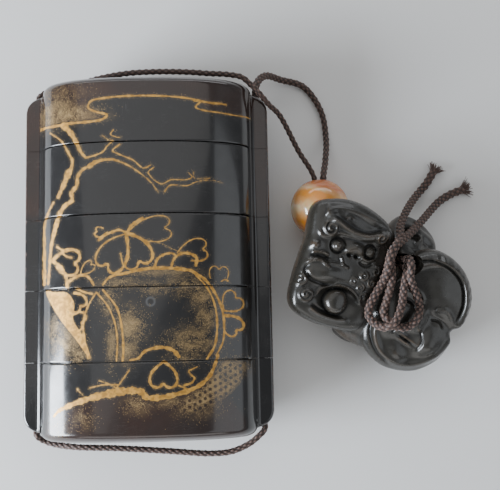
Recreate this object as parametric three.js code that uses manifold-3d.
// An inro: a stack of lacquered boxes worn at the belt, lying on its back, with the one silk
// cord that holds the stack together, the bead that slides on it and its toggle of carved masks.
// Millimetres. X runs across the case, Y along it towards the lid, and Z out of its front.
import * as THREE from 'three';
import { ParametricGeometry } from 'three/addons/geometries/ParametricGeometry.js';
import { mergeVertices } from 'three/addons/utils/BufferGeometryUtils.js';
import Module from 'manifold-3d';

const wasm = await Module();
wasm.setup();

// The oval body of the case
const BODY_WIDTH = 53;
const BODY_DEPTH = 25;
const OVAL_POWER = 2.35;
const BACK_FLAT = 0.15;

// The stack: a lid, three equal tiers and a base tier
const LID_HEIGHT = 18.4;
const TIER_HEIGHT = 17.5;
const BASE_HEIGHT = 19.4;
const MIDDLE_TIERS = 3;
const SEAM_GAP = 0.3;

// Walls, and the raised rim that each tier slides over
const WALL = 1.7;
const FLOOR = 1.6;
const ROOF = 2;
const RIM_HEIGHT = 4.6;
const RIM_WALL = 1.2;
const RIM_FIT = 0.3;

// The rounded ends of the lid and of the base
const LID_DOME = 1.5;
const BASE_DOME = 0.6;
const END_ROUND_ACROSS = 3;
const END_ROUND_ALONG = 2.5;
const END_ROUND_DEEP = 4.5;

// The runners down both sides, with the channels for the cord
const RUNNER_REACH = 4;
const RUNNER_THICKNESS = 5.1;
const RUNNER_ROUND = 0.8;
const RUNNER_ROOT = 2.5;
const RUNNER_WALL = 1.2;
const RUNNER_BELOW_LID = 4.85;
const RUNNER_ABOVE_BASE = 3.15;
const RUNNER_END_ROUND = 4;
const CHANNEL_BORE = 2.8;

// The cord and the bead on it
const CORD_DIAMETER = 1.9;
const STRAND_PITCH = 2.25;
const CORD_STEP = 7;
const CORD_TURN = 0.35;
const BEAD_DIAMETER = 15.2;
const BEAD_BORE = 4.9;
const BEAD_FROM_CASE = 6;
const BEAD_ALONG = 12.45;

// The toggle, whose masks and core are drawn 46.8 wide and scaled to this width
const TOGGLE_WIDTH = 46.8;
const TOGGLE_FROM_CASE = 29.5;
const TOGGLE_ALONG = -8.55;
const TOGGLE_BORE = 5.2;
const TOGGLE_MOUTH = 7.6;
const TOGGLE_GAP = 0.4;

// Fineness of the facets
const OVAL_SIDES = 36;
const END_STEPS = 3;
const BORE_SIDES = 8;
const BEAD_SIDES = 18;
const MASK_SIDES = 32;
const MASK_RINGS = 10;
const CORD_SIDES = 8;

const halfWidth = BODY_WIDTH / 2;
const halfDepth = BODY_DEPTH / 2;
const caseSide = halfWidth + RUNNER_REACH;
const midHeight = halfDepth - BACK_FLAT;
const caseLength = LID_HEIGHT + MIDDLE_TIERS * TIER_HEIGHT + BASE_HEIGHT;
const channelX = caseSide - RUNNER_WALL - CHANNEL_BORE / 2;
const beadRadius = BEAD_DIAMETER / 2;
const cordRadius = CORD_DIAMETER / 2;
const beadX = caseSide + BEAD_FROM_CASE + beadRadius;
const toggleX = caseSide + TOGGLE_FROM_CASE;
const toggleScale = TOGGLE_WIDTH / 46.8;

// A closed geometry as a solid, its faces turned outwards
function solidOf(geometry) {
  geometry.deleteAttribute('normal');
  geometry.deleteAttribute('uv');
  const merged = mergeVertices(geometry, 1e-4);
  const position = merged.attributes.position;
  const index = merged.index.array;
  const corners = [new THREE.Vector3(), new THREE.Vector3(), new THREE.Vector3()];
  const faces = [];
  let volume = 0;
  for (let i = 0; i < index.length; i += 3) {
    const face = [index[i], index[i + 1], index[i + 2]];
    if (new Set(face).size < 3) continue;
    faces.push(face);
    corners.forEach((corner, k) => corner.fromBufferAttribute(position, face[k]));
    volume += corners[0].dot(corners[1].clone().cross(corners[2]));
  }
  const triVerts = Uint32Array.from(faces.flatMap((face) => (volume < 0 ? face.toReversed() : face)));
  return new wasm.Manifold(new wasm.Mesh({ numProp: 3, vertProperties: position.array, triVerts }));
}

// A solid as a geometry
function geometryOf(solid) {
  const mesh = solid.getMesh();
  const geometry = new THREE.BufferGeometry();
  geometry.setAttribute('position', new THREE.BufferAttribute(mesh.vertProperties, 3));
  geometry.setIndex(new THREE.BufferAttribute(mesh.triVerts, 1));
  geometry.computeVertexNormals();
  return geometry;
}

function boxSolid(low, high) {
  const size = high.map((value, k) => value - low[k]);
  const geometry = new THREE.BoxGeometry(...size);
  geometry.translate(...low.map((value, k) => value + size[k] / 2));
  return solidOf(geometry);
}

// A point of the oval with the given half sizes, at a share of one turn
function ovalPoint(across, deep, turn) {
  const angle = turn * 2 * Math.PI;
  const bend = (value) => Math.sign(value) * Math.abs(value) ** (2 / OVAL_POWER);
  return [across * bend(Math.cos(angle)), deep * bend(Math.sin(angle))];
}

// A stack of ovals, each with its half sizes and its place along the case
function ovalSolid(rings) {
  const first = { ...rings[0], across: 0, deep: 0 };
  const last = { ...rings.at(-1), across: 0, deep: 0 };
  const all = [first, ...rings, last];
  const surface = (turn, share, target) => {
    const ring = all[Math.round(share * (all.length - 1))];
    const [x, z] = ovalPoint(ring.across, ring.deep, turn % 1);
    target.set(x, ring.along, midHeight + z);
  };
  return solidOf(new ParametricGeometry(surface, OVAL_SIDES, all.length - 1));
}

// A straight oval, inset from the outside of the body by the same wall all round
function ovalPrism(inset, low, high) {
  const size = { across: halfWidth - inset, deep: halfDepth - inset };
  return ovalSolid([{ ...size, along: low }, { ...size, along: high }]);
}

// The rings of a rounded and slightly domed end, from the straight side to the crown
function endRings(end, direction, dome) {
  const rings = [];
  const flat = end - direction * dome;
  for (let k = 0; k <= END_STEPS; k += 1) {
    const angle = (k / END_STEPS) * (Math.PI / 2);
    rings.push({
      across: halfWidth - END_ROUND_ACROSS * (1 - Math.cos(angle)),
      deep: halfDepth - END_ROUND_DEEP * (1 - Math.cos(angle)),
      along: flat - direction * END_ROUND_ALONG * (1 - Math.sin(angle)),
    });
  }
  const shoulder = rings.at(-1);
  for (const [share, drop] of [[0.65, 0.4], [0.25, 0]]) {
    rings.push({
      across: shoulder.across * share,
      deep: shoulder.deep * share,
      along: end - direction * dome * drop,
    });
  }
  return rings;
}

// One runner in plan, from low to high along the case. A free end is rounded off, and is as far
// short of low or high as lowFree or highFree says
function runnerSolid(side, low, high, lowFree, highFree) {
  const inner = halfWidth - RUNNER_ROOT;
  const outer = caseSide - RUNNER_ROUND;
  const bottom = low + (lowFree || RUNNER_ROUND);
  const top = high - (highFree || RUNNER_ROUND);
  const shape = new THREE.Shape();
  shape.moveTo(inner, bottom);
  if (lowFree) {
    shape.quadraticCurveTo(outer, bottom, outer, bottom + RUNNER_END_ROUND);
  } else {
    shape.lineTo(outer, bottom);
  }
  if (highFree) {
    shape.lineTo(outer, top - RUNNER_END_ROUND);
    shape.quadraticCurveTo(outer, top, inner, top);
  } else {
    shape.lineTo(outer, top);
    shape.lineTo(inner, top);
  }
  const geometry = new THREE.ExtrudeGeometry(shape, {
    depth: RUNNER_THICKNESS - 2 * RUNNER_ROUND,
    bevelThickness: RUNNER_ROUND,
    bevelSize: RUNNER_ROUND,
    bevelSegments: 2,
    curveSegments: 5,
  });
  geometry.translate(0, 0, midHeight - RUNNER_THICKNESS / 2 + RUNNER_ROUND);
  if (side < 0) geometry.rotateZ(Math.PI).translate(0, low + high, 0);
  return solidOf(geometry);
}

// A runner that is cut square at a seam keeps its full section up to it
function squareEnds(runner, low, high) {
  const reach = caseSide + 1;
  return runner.intersect(boxSolid([-reach, low, -1], [reach, high, BODY_DEPTH]));
}

// One tier between two seams: socket below, floor, compartment, and a raised rim above
function tierSolid({ low, high, isLid, isBase }) {
  const rings = [];
  if (isBase) {
    rings.push(...endRings(low, -1, BASE_DOME).reverse());
  } else {
    rings.push({ across: halfWidth, deep: halfDepth, along: low });
  }
  if (isLid) {
    rings.push(...endRings(high, 1, LID_DOME));
  } else {
    rings.push({ across: halfWidth, deep: halfDepth, along: high });
  }
  let tier = ovalSolid(rings);
  for (const side of [-1, 1]) {
    const lowEnd = isBase ? low : low - 2 * RUNNER_ROUND;
    const highEnd = isLid ? high : high + 2 * RUNNER_ROUND;
    const free = [isBase && RUNNER_ABOVE_BASE, isLid && RUNNER_BELOW_LID];
    const runner = runnerSolid(side, lowEnd, highEnd, ...(side < 0 ? free.toReversed() : free));
    tier = tier.add(squareEnds(runner, low, high));
  }
  const rimInset = WALL + RIM_FIT;
  const hollowInset = rimInset + RIM_WALL;
  const socketTop = low + RIM_HEIGHT + RIM_FIT;
  const floorTop = isLid ? low : (isBase ? low + BASE_DOME + FLOOR : socketTop + FLOOR);
  const hollowTop = isLid ? high - LID_DOME - ROOF : high + RIM_HEIGHT + 1;
  if (!isLid) tier = tier.add(ovalPrism(rimInset, high - 1, high + RIM_HEIGHT));
  if (!isBase) tier = tier.subtract(ovalPrism(WALL, low - 1, socketTop));
  tier = tier.subtract(ovalPrism(hollowInset, floorTop, hollowTop));
  for (const x of [-channelX, channelX]) {
    const bore = new THREE.CylinderGeometry(CHANNEL_BORE / 2, CHANNEL_BORE / 2, TIER_HEIGHT * 2, BORE_SIDES);
    bore.translate(x, (low + high) / 2, midHeight);
    tier = tier.subtract(solidOf(bore));
  }
  const table = boxSolid([-caseSide - 1, low - 1, 0], [caseSide + 1, high + RIM_HEIGHT + 1, BODY_DEPTH + 1]);
  return tier.intersect(table);
}

// The bead, turned round its cord hole, which lies along the case
function beadSolid() {
  const arcSteps = 11;
  const edge = Math.asin(BEAD_BORE / BEAD_DIAMETER);
  const profile = [];
  for (let k = 0; k <= arcSteps; k += 1) {
    const angle = edge + (k / arcSteps) * (Math.PI - 2 * edge);
    profile.push(new THREE.Vector2(beadRadius * Math.sin(angle), -beadRadius * Math.cos(angle)));
  }
  profile.push(profile[0].clone());
  const geometry = new THREE.LatheGeometry(profile, BEAD_SIDES);
  geometry.translate(beadX, BEAD_ALONG, beadRadius);
  return solidOf(geometry);
}

// A soft round swelling, a round ball cap and a ridge along an arc, as heights over the mask
const swelling = (u, v, cu, cv, ru, rv, height) =>
  height * Math.exp(-(((u - cu) / ru) ** 2) - ((v - cv) / rv) ** 2);
const ballCap = (u, v, cu, cv, radius, height) =>
  height * Math.sqrt(Math.max(0, 1 - ((u - cu) ** 2 + (v - cv) ** 2) / radius ** 2));
const ridge = (distance, width, height) => height * Math.exp(-((distance / width) ** 2));

// The lion: a smooth crown over scrolled brows, round eyes, a broad nose and muzzle,
// curls down the cheek, and a ball held in the open mouth
function lionRelief(u, v) {
  const browLine = 7.9 + 0.035 * (u - 0.5) ** 2;
  return (
    ridge(v - browLine, 1.1, 1.1) * (Math.abs(u + 0.8) < 8.6 ? 1 : 0) +
    swelling(u, v, -7.2, 7.5, 2, 1.9, 0.8) +
    swelling(u, v, 5.8, 8.6, 1.7, 1.7, 0.7) +
    swelling(u, v, -1.5, 12.2, 7, 2.4, 0.9) +
    ballCap(u, v, -4.4, 3.9, 1.9, 1.2) +
    ballCap(u, v, 4.1, 4.9, 1.8, 1.1) +
    swelling(u, v, 0.2, 4.3, 2.1, 1.6, 1.7) +
    swelling(u, v, -5, -3.4, 4.6, 2.4, 1.4) +
    swelling(u, v, 4.6, -2.4, 3.4, 3, 0.7) +
    ballCap(u, v, -11, -6.2, 1.9, 0.8) +
    ballCap(u, v, -8.6, -9.6, 2, 0.9) -
    swelling(u, v, -0.6, -9.3, 4.6, 3.6, 2.8) +
    ballCap(u, v, -0.8, -9.4, 3.1, 4.2)
  );
}

// The smiling mask: a high brow under a hair band, full cheeks, small nose and lips
function smilingRelief(u, v) {
  const out = Math.hypot(u / 11.5, v / 15.5);
  return (
    ridge(out - 0.9, 0.07, 0.8) +
    swelling(u, v, -5.2, -5.4, 3.4, 3.4, 2.2) +
    swelling(u, v, 5.6, -5.4, 3.4, 3.4, 2.2) +
    swelling(u, v, 0.2, -1.8, 1.5, 2.6, 1.9) +
    swelling(u, v, 0.2, 7, 6.5, 4.5, 1.2) +
    swelling(u, v, 0.2, -7.2, 1.9, 1, 1.1) +
    swelling(u, v, 0.2, -11.6, 2.6, 1.8, 1.2) -
    swelling(u, v, -4.4, 1, 2.8, 1.3, 0.9) -
    swelling(u, v, 4.8, 1, 2.8, 1.3, 0.9)
  );
}

// The masks behind are plainer: a brow, two eye hollows and a nose
function plainRelief(u, v) {
  return (
    swelling(u, v, 0, -0.5, 1.2, 2, 1.4) +
    swelling(u, v, 0, 3, 4.5, 1.4, 0.9) -
    swelling(u, v, -2.8, 0.6, 1.7, 1.1, 0.8) -
    swelling(u, v, 2.8, 0.6, 1.7, 1.1, 0.8)
  );
}

// The masks. Places are from the middle of the toggle, turn is clockwise as seen, and the
// leans tip the face to its right and downwards, in degrees
const LION_OUTLINE = [
  [-12, 12], [-7.5, 15], [-1, 15.8], [6, 13.8], [10.6, 10], [11.6, 4], [10.6, -4], [9.4, -11],
  [7, -15], [1, -16], [-6, -15.6], [-11, -13], [-12, -6], [-11.6, 4],
];
const SMILING_OUTLINE = [
  [-7.1, 14], [-2, 15.8], [4, 14.6], [9, 10.5], [11, 4.5], [9.6, 0.6], [11.2, -2.5], [11, -8],
  [7.4, -13.6], [0.4, -16.6], [-6.8, -15], [-10.4, -10.5], [-12, -2], [-11, 8],
];
const PLAIN_OUTLINE = [[0, 8.5], [6, 6], [7.2, 0], [5.4, -6], [0, -8.6], [-5.4, -6], [-7.2, 0], [-6, 6]];
const MASKS = [
  { outline: LION_OUTLINE, relief: lionRelief, at: [-11.5, 5.5, 14.6], turn: 16, right: 13, down: 5,
    dome: 5.2, thick: 4.8 },
  { outline: SMILING_OUTLINE, relief: smilingRelief, at: [7.5, -6, 10.6], turn: 35, right: 9, down: 12,
    dome: 5.6, thick: 5.2 },
  { outline: PLAIN_OUTLINE, relief: plainRelief, at: [7, 10.2, 7.6], turn: 30, right: 20, down: -38,
    dome: 3.6, thick: 3.4 },
  { outline: PLAIN_OUTLINE, relief: plainRelief, at: [-5.2, -8.6, 6], turn: -160, right: -20, down: -62,
    dome: 3.4, thick: 3.4 },
];

// One mask: rings from the crown of the face out to its edge, round it and over the back
function maskSolid({ outline, relief, at, turn, right, down, dome, thick }) {
  const edge = new THREE.CatmullRomCurve3(
    outline.map(([u, v]) => new THREE.Vector3(u, v, 0)), true, 'catmullrom', 0.5);
  const back = [[0.985, -0.35], [0.9, -0.8], [0.7, -1], [0, -1]];
  const stacks = MASK_RINGS + back.length;
  const surface = (turnShare, share, target) => {
    const ring = Math.round(share * stacks);
    edge.getPoint(turnShare % 1, target);
    if (ring <= MASK_RINGS) {
      const spread = Math.sin((ring / MASK_RINGS) * (Math.PI / 2) * 0.995) ** 1.15;
      const rise = Math.sqrt(1 - (ring / MASK_RINGS) ** 4);
      const u = target.x * spread;
      const v = target.y * spread;
      target.set(u, v, rise * dome + Math.min(1, 2 * rise) * relief(u, v));
      return;
    }
    const [spread, depth] = back[ring - MASK_RINGS - 1];
    target.set(target.x * spread, target.y * spread, depth * thick);
  };
  const geometry = new ParametricGeometry(surface, MASK_SIDES, stacks);
  const tilt = [down, right, -turn].map(THREE.MathUtils.degToRad);
  geometry.applyMatrix4(new THREE.Matrix4().makeRotationFromEuler(new THREE.Euler(...tilt, 'ZYX')));
  geometry.translate(...at);
  return solidOf(geometry);
}

// The toggle's cord hole: in at the front between the two big masks, out at the side by the bead
const TUNNEL = [
  [4, 5.4, 26], [4, 5.4, 15], [0.2, 6.2, 9.9], [-8, 8.2, 8], [-15, 11.4, 7.7], [-15.9, 14, 7.6],
];

// The lump of wood that the masks are carved from: its half sizes, and its middle
const CORE_SIZE = [15.5, 14, 8.6];
const CORE_AT = [-1, -2, 7.8];

// The dished mouth of the hole, where the knot sits
const MOUTH = [4, 5.4, 19.8];

// The middle of the toggle, behind the masks, with the hole through it and its flat foot
function toggleSolid() {
  const core = new THREE.SphereGeometry(1, 20, 12);
  core.scale(...CORE_SIZE);
  core.translate(...CORE_AT);
  let toggle = solidOf(core);
  for (const mask of MASKS) toggle = toggle.add(maskSolid(mask));
  const path = new THREE.CatmullRomCurve3(TUNNEL.map((point) => new THREE.Vector3(...point)));
  const section = new THREE.Shape().absarc(0, 0, TOGGLE_BORE / 2, 0, 2 * Math.PI);
  const tunnel = new THREE.ExtrudeGeometry(section, { steps: 14, curveSegments: 5, extrudePath: path });
  toggle = toggle.subtract(solidOf(tunnel));
  const mouth = new THREE.SphereGeometry(TOGGLE_MOUTH / 2, 14, 10);
  mouth.translate(...MOUTH);
  toggle = toggle.subtract(solidOf(mouth));
  toggle = toggle.scale(toggleScale).translate([toggleX, TOGGLE_ALONG, 0]);
  const bead = new THREE.SphereGeometry(beadRadius + TOGGLE_GAP, BEAD_SIDES, 12);
  bead.translate(beadX, BEAD_ALONG, beadRadius);
  toggle = toggle.subtract(solidOf(bead));
  const low = [toggleX - TOGGLE_WIDTH, TOGGLE_ALONG - TOGGLE_WIDTH, 0];
  return toggle.intersect(boxSolid(low, low.map((value) => value + 2 * TOGGLE_WIDTH)));
}

// The cord's route, from one loose end to the other
const onTable = cordRadius + 0.15;
const caseEnd = caseLength / 2;
const strand = STRAND_PITCH / 2;
const fromToggle = (point) => {
  const [x, y, z] = point.map((value) => value * toggleScale);
  return [toggleX + x, TOGGLE_ALONG + y, z];
};
const firstTail = [
  [16.4, 31.8, onTable], [14.1, 28.2, onTable], [11.6, 25.5, 1.9], [8.8, 22.4, 5], [6, 18.8, 9.4],
  [3.7, 15.1, 13.6], [2.6, 11.8, 17.5], [0.8, 8.8, 19.5], [-0.3, 6.2, 19.5],
].map(fromToggle);
const firstLoop = [
  [-0.2, 4, 19.3], [-0.2, 1.6, 19.3], [-0.9, -1.4, 19.1], [-1.8, -4.5, 18.6], [-2.4, -7.2, 18.5],
  [-1.2, -9, 18.7], [0.7, -10.3, 18.4], [3.6, -10.4, 17.6], [5.9, -8.3, 18.3], [6.6, -5.6, 18],
  [5.9, -3.2, 18.8], [4.9, -0.8, 19.4], [4, 1.6, 20.7], [4.3, 4, 21], [4.5, 6, 18.8], [4.3, 6.4, 15],
].map(fromToggle);
const throughToggle = [[0.5, 7.2, 9.9], [-7.7, 9.2, 8], [-14, 11.9, 7.7]].map(fromToggle);
const slackLoop = [
  [beadX + strand, BEAD_ALONG - beadRadius, beadRadius],
  [beadX + strand, BEAD_ALONG + beadRadius, beadRadius],
  [46.4, 25.8, 4.4], [47.2, 33, onTable], [46, 40.4, onTable], [41.4, 47.2, onTable], [35.4, 48.8, 2.2],
  [30.6, 48.2, 7.6],
];
const overCase = [
  [channelX, caseEnd - 1.4, midHeight], [channelX, caseEnd - 8, midHeight],
  [channelX, 6 - caseEnd, midHeight], [channelX + 0.2, 2 - caseEnd, midHeight],
  [26.6, 0.3 - caseEnd, midHeight], [24.2, -caseEnd - 1.5, midHeight], [20, -caseEnd - 3.2, midHeight],
  [15, -caseEnd - 3.6, midHeight], [4, -caseEnd - 2.7, midHeight], [-9, -caseEnd - 1.7, midHeight],
  [-17.9, -caseEnd - 1.3, midHeight - 0.5], [-23.6, -caseEnd - 0.7, midHeight - 2.2],
  [-26.5, 0.3 - caseEnd, midHeight - 2.4], [-channelX + 0.2, 1.6 - caseEnd, midHeight - 0.8],
  [-channelX, 3.9 - caseEnd, midHeight], [-channelX, 8 - caseEnd, midHeight],
  [-channelX, caseEnd - 9, midHeight], [-channelX, caseEnd - 5.4, midHeight],
  [-channelX + 0.1, caseEnd - 3.8, midHeight - 0.3], [-27.3, caseEnd - 2.4, midHeight - 1.8],
  [-25.5, caseEnd - 0.9, midHeight - 3], [-21.6, caseEnd + 0.1, midHeight - 3],
  [-16.6, caseEnd + 0.6, midHeight - 1.2], [-12, caseEnd + 1, midHeight + 1],
  [-5.4, caseEnd + 1.4, midHeight + 3.2], [2, caseEnd + 1.6, midHeight + 3.8],
  [10, caseEnd + 1.3, midHeight + 4.3], [16, caseEnd + 0.7, midHeight + 4.7],
  [20.9, caseEnd + 0.2, midHeight + 5.2], [24.2, caseEnd - 0.7, midHeight + 5.6],
  [26.6, caseEnd - 2.8, midHeight + 5.4], [28.6, caseEnd - 4.8, midHeight + 4.9],
  [31, caseEnd - 7, midHeight + 2.7], [33.7, caseEnd - 9, midHeight + 0.4],
  [38.8, 27.6, 8.6],
];
const backThroughBead = [
  [beadX - strand, BEAD_ALONG + beadRadius, beadRadius],
  [beadX - strand, BEAD_ALONG - beadRadius, beadRadius],
];
const backThroughToggle = [
  [-16, 10.9, 7.7], [-8.3, 7.2, 8], [-0.1, 5.2, 9.9], [3.8, 4.4, 15],
].map(fromToggle);
const secondLoop = [
  [3.9, 3.9, 17.7], [3.3, 2.1, 19.6], [2.7, 0, 19.8], [2.3, -2.7, 19.6], [1.8, -5.1, 19.9],
  [0.6, -8, 20.5], [-0.9, -9.9, 20.4], [-2.9, -10.4, 19.2], [-4.6, -9.4, 18.1], [-6, -7.4, 17.9],
  [-5.9, -5.4, 18.3], [-4.4, -2.5, 18.7], [-2.6, 0.4, 18.9], [-1.6, 3, 20.3],
].map(fromToggle);
const secondTail = [
  [-1.2, 5.3, 21.3], [-0.5, 7.5, 21.2], [1.3, 9.6, 19.8], [4.1, 11.7, 16.6], [7, 14, 13],
  [10.6, 17.1, 8.6], [14.2, 20.5, 4.4], [17.4, 23.3, 1.9], [20.8, 25.3, onTable], [24.1, 26.5, onTable],
].map(fromToggle);
const ROUTE = [
  ...firstTail, ...firstLoop, ...throughToggle, ...slackLoop, ...overCase,
  ...backThroughBead, ...backThroughToggle, ...secondLoop, ...secondTail,
];

// The route as one smooth curve. It has a step at each of its points where it bends or has gone far
class CordRoute extends THREE.CatmullRomCurve3 {
  constructor(points) {
    super(points.map((point) => new THREE.Vector3(...point)), false, 'centripetal');
    const spans = this.points.length - 1;
    this.stations = [0];
    let gone = 0;
    for (let k = 1; k <= spans; k += 1) {
      const length = this.points[k - 1].distanceTo(this.points[k]);
      const turned = this.getTangent(k / spans).angleTo(this.getTangent(this.stations.at(-1)));
      gone += length;
      if (k < spans && turned < CORD_TURN && gone < CORD_STEP) continue;
      const straight = length > 2 * TIER_HEIGHT;
      const pieces = straight ? 1 : Math.max(1, Math.round(length / CORD_STEP));
      for (let j = 1; j <= pieces; j += 1) this.stations.push((k - 1 + j / pieces) / spans);
      gone = 0;
    }
  }

  share(u) {
    return this.stations[Math.round(u * (this.stations.length - 1))];
  }

  getPointAt(u, target) {
    return this.getPoint(this.share(u), target);
  }

  getTangentAt(u, target) {
    return this.getTangent(this.share(u), target);
  }
}

function cordGeometry() {
  const path = new CordRoute(ROUTE);
  const section = new THREE.Shape().absarc(0, 0, cordRadius, 0, 2 * Math.PI);
  return new THREE.ExtrudeGeometry(section, {
    steps: path.stations.length - 1, curveSegments: CORD_SIDES / 2, extrudePath: path });
}

function lacquer(color) {
  return new THREE.MeshStandardMaterial({ color, roughness: 0.25, metalness: 0 });
}

function addPart(group, name, geometry, material) {
  const mesh = new THREE.Mesh(geometry, material);
  mesh.name = name;
  group.add(mesh);
}

const inro = new THREE.Group();
const bottom = -caseLength / 2;
const seams = [];
for (let k = 0; k <= MIDDLE_TIERS; k += 1) seams.push(bottom + BASE_HEIGHT + k * TIER_HEIGHT);
const half = SEAM_GAP / 2;
const tiers = [
  { name: 'lid', low: seams[MIDDLE_TIERS] + half, high: -bottom, isLid: true },
];
for (let k = MIDDLE_TIERS; k > 0; k -= 1) {
  tiers.push({ name: `case_${tiers.length}`, low: seams[k - 1] + half, high: seams[k] - half });
}
tiers.push({ name: `case_${tiers.length}`, low: bottom, high: seams[0] - half, isBase: true });
for (const tier of tiers) addPart(inro, tier.name, geometryOf(tierSolid(tier)), lacquer(0x1c1714));
addPart(inro, 'ojime_bead', geometryOf(beadSolid()),
  new THREE.MeshStandardMaterial({ color: 0xe08b45, roughness: 0.12, metalness: 0 }));
addPart(inro, 'netsuke', geometryOf(toggleSolid()),
  new THREE.MeshStandardMaterial({ color: 0x16130f, roughness: 0.3, metalness: 0 }));
addPart(inro, 'cord', cordGeometry(),
  new THREE.MeshStandardMaterial({ color: 0x3a2620, roughness: 0.85, metalness: 0 }));

export default inro;
